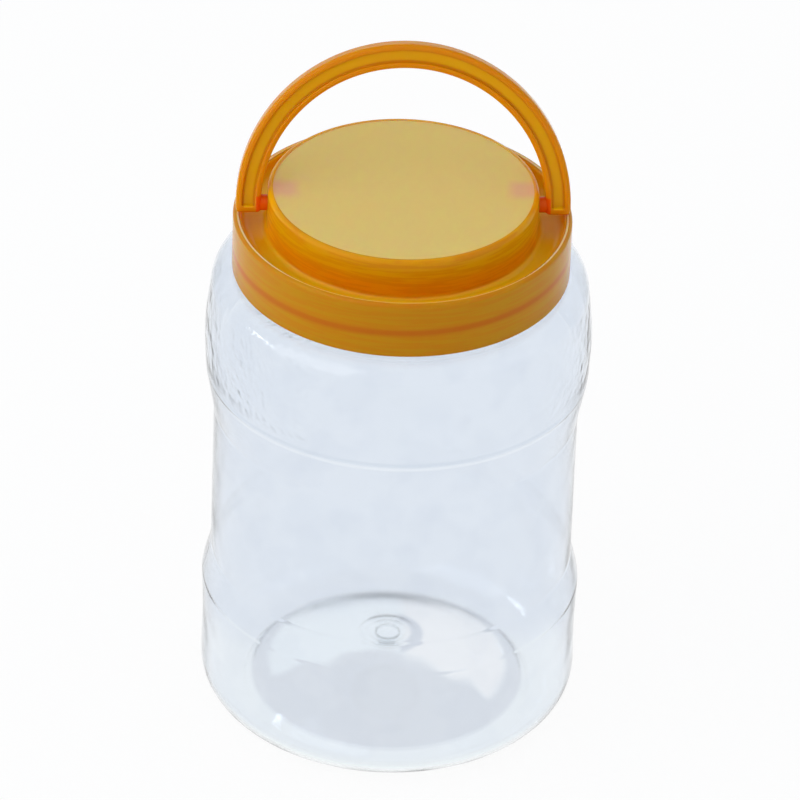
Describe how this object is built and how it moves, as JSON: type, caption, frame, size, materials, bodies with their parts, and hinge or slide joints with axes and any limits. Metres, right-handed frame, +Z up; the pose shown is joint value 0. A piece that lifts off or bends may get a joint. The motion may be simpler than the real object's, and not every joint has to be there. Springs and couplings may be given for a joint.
{
  "type": "honey jar with carrying handle",
  "caption": "Clear wide-mouth storage jar with a push-up base and recessed label panel, closed by a translucent amber screw lid that carries a folding bail handle.",
  "frame": {"origin": "centre of the ring that the jar stands on, at ground level", "axes": "+Z up along the jar's axis, +X along the bail's pivot, -Y towards the front"},
  "size_m": [0.1264, 0.1264, 0.2413],
  "materials": {
    "clear_pet": "clear blown PET, slightly blue",
    "amber_lid": "translucent amber plastic, glossy with a frosted disc on top",
    "liner_foam": "white foamed polyethylene",
    "amber_bail": "translucent amber plastic, glossy"
  },
  "bodies": {
    "jar": {"jar_body": "clear_pet"},
    "seal": {"sealing_liner": "liner_foam"},
    "lid": {"screw_lid": "amber_lid"},
    "bail": {"carrying_bail": "amber_bail"}
  },
  "joints": [
    {"name": "lid_rise", "type": "slide", "parent": "jar", "child": "seal", "axis": [0, 0, 1], "range_m": [0, 0.018]},
    {"name": "lid_turn", "type": "hinge", "parent": "seal", "child": "lid", "pos_m": [0, 0, 0.1784], "axis": [0, 0, 1], "range_deg": [0, 1080]},
    {"name": "bail_swing", "type": "hinge", "parent": "lid", "child": "bail", "pos_m": [0, 0, 0.1885], "axis": [1, 0, 0], "range_deg": [-75, 105]}
  ],
  "couplings": [
    {"joint": "lid_rise", "follows": "lid_turn", "m_per_rad": 0.00095493}
  ]
}
